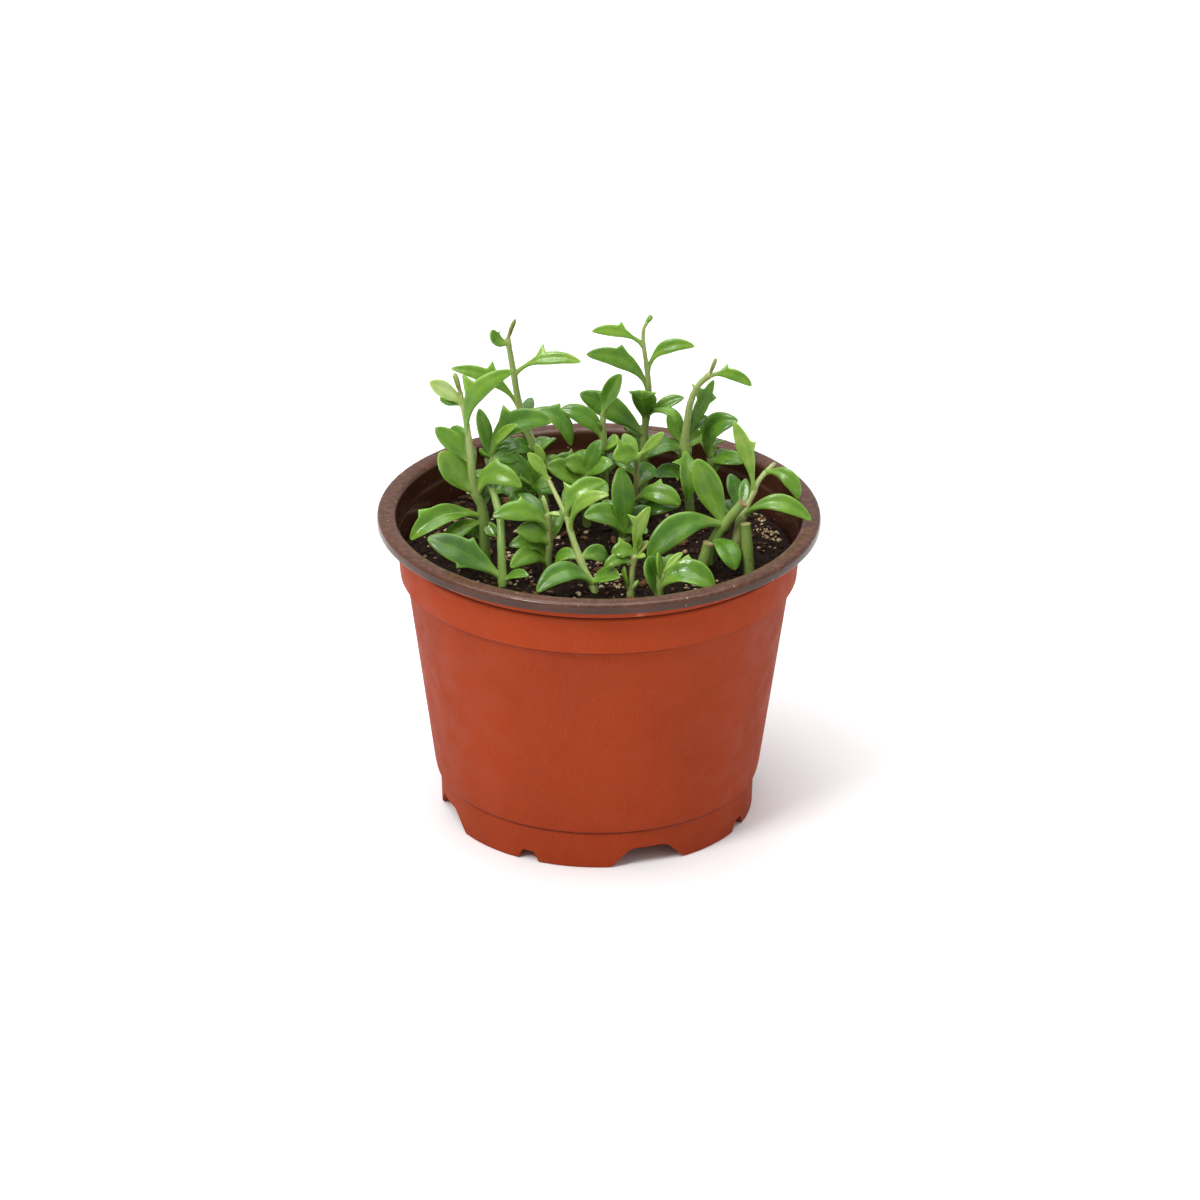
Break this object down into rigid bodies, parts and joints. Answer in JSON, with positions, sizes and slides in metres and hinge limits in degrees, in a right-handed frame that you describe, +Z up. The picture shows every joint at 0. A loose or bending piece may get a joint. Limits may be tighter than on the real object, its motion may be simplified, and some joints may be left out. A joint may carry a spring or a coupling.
{
  "type": "potted string of dolphins",
  "caption": "String of dolphins in a round thermoformed nursery pot: leafy succulent stems with dolphin-shaped leaves rising from peaty soil.",
  "frame": {"origin": "on the floor under the centre of the pot's foot", "axes": "+Z up along the pot's axis, -Y towards the front of the picture, +X to its right"},
  "size_m": [0.108, 0.108, 0.1191],
  "materials": {
    "pot_plastic": "satin terracotta-coloured plastic, brown inside",
    "peat": "rough damp peat with pale perlite",
    "leaf": "glossy fleshy leaf",
    "cut_stem": "smooth green stem with a dry cut end"
  },
  "bodies": {
    "root": {"pot": "pot_plastic", "soil": "peat", "leafy_stem_tall_left": "leaf", "leafy_stem_front_left": "leaf", "leafy_stem_left_column": "leaf", "leafy_stem_back_centre": "leaf", "leafy_stem_tallest": "leaf", "leafy_stem_arched_right": "leaf", "leafy_stem_back_right": "leaf", "leafy_stem_far_right": "leaf", "leafy_stem_cut_right": "leaf", "leafy_stem_front_right": "leaf", "leafy_stem_front_middle": "leaf", "leafy_stem_leaning": "leaf", "leafy_stem_front_low": "leaf", "leafy_stem_purple": "leaf", "leafy_stem_middle": "leaf", "leafy_stem_centre_back": "leaf", "leafy_stem_inner_left": "leaf", "leafy_stem_back_low": "leaf", "leafy_stem_back_left": "leaf", "stem_stub_front": "cut_stem", "stem_stub_right": "cut_stem"}
  },
  "joints": []
}
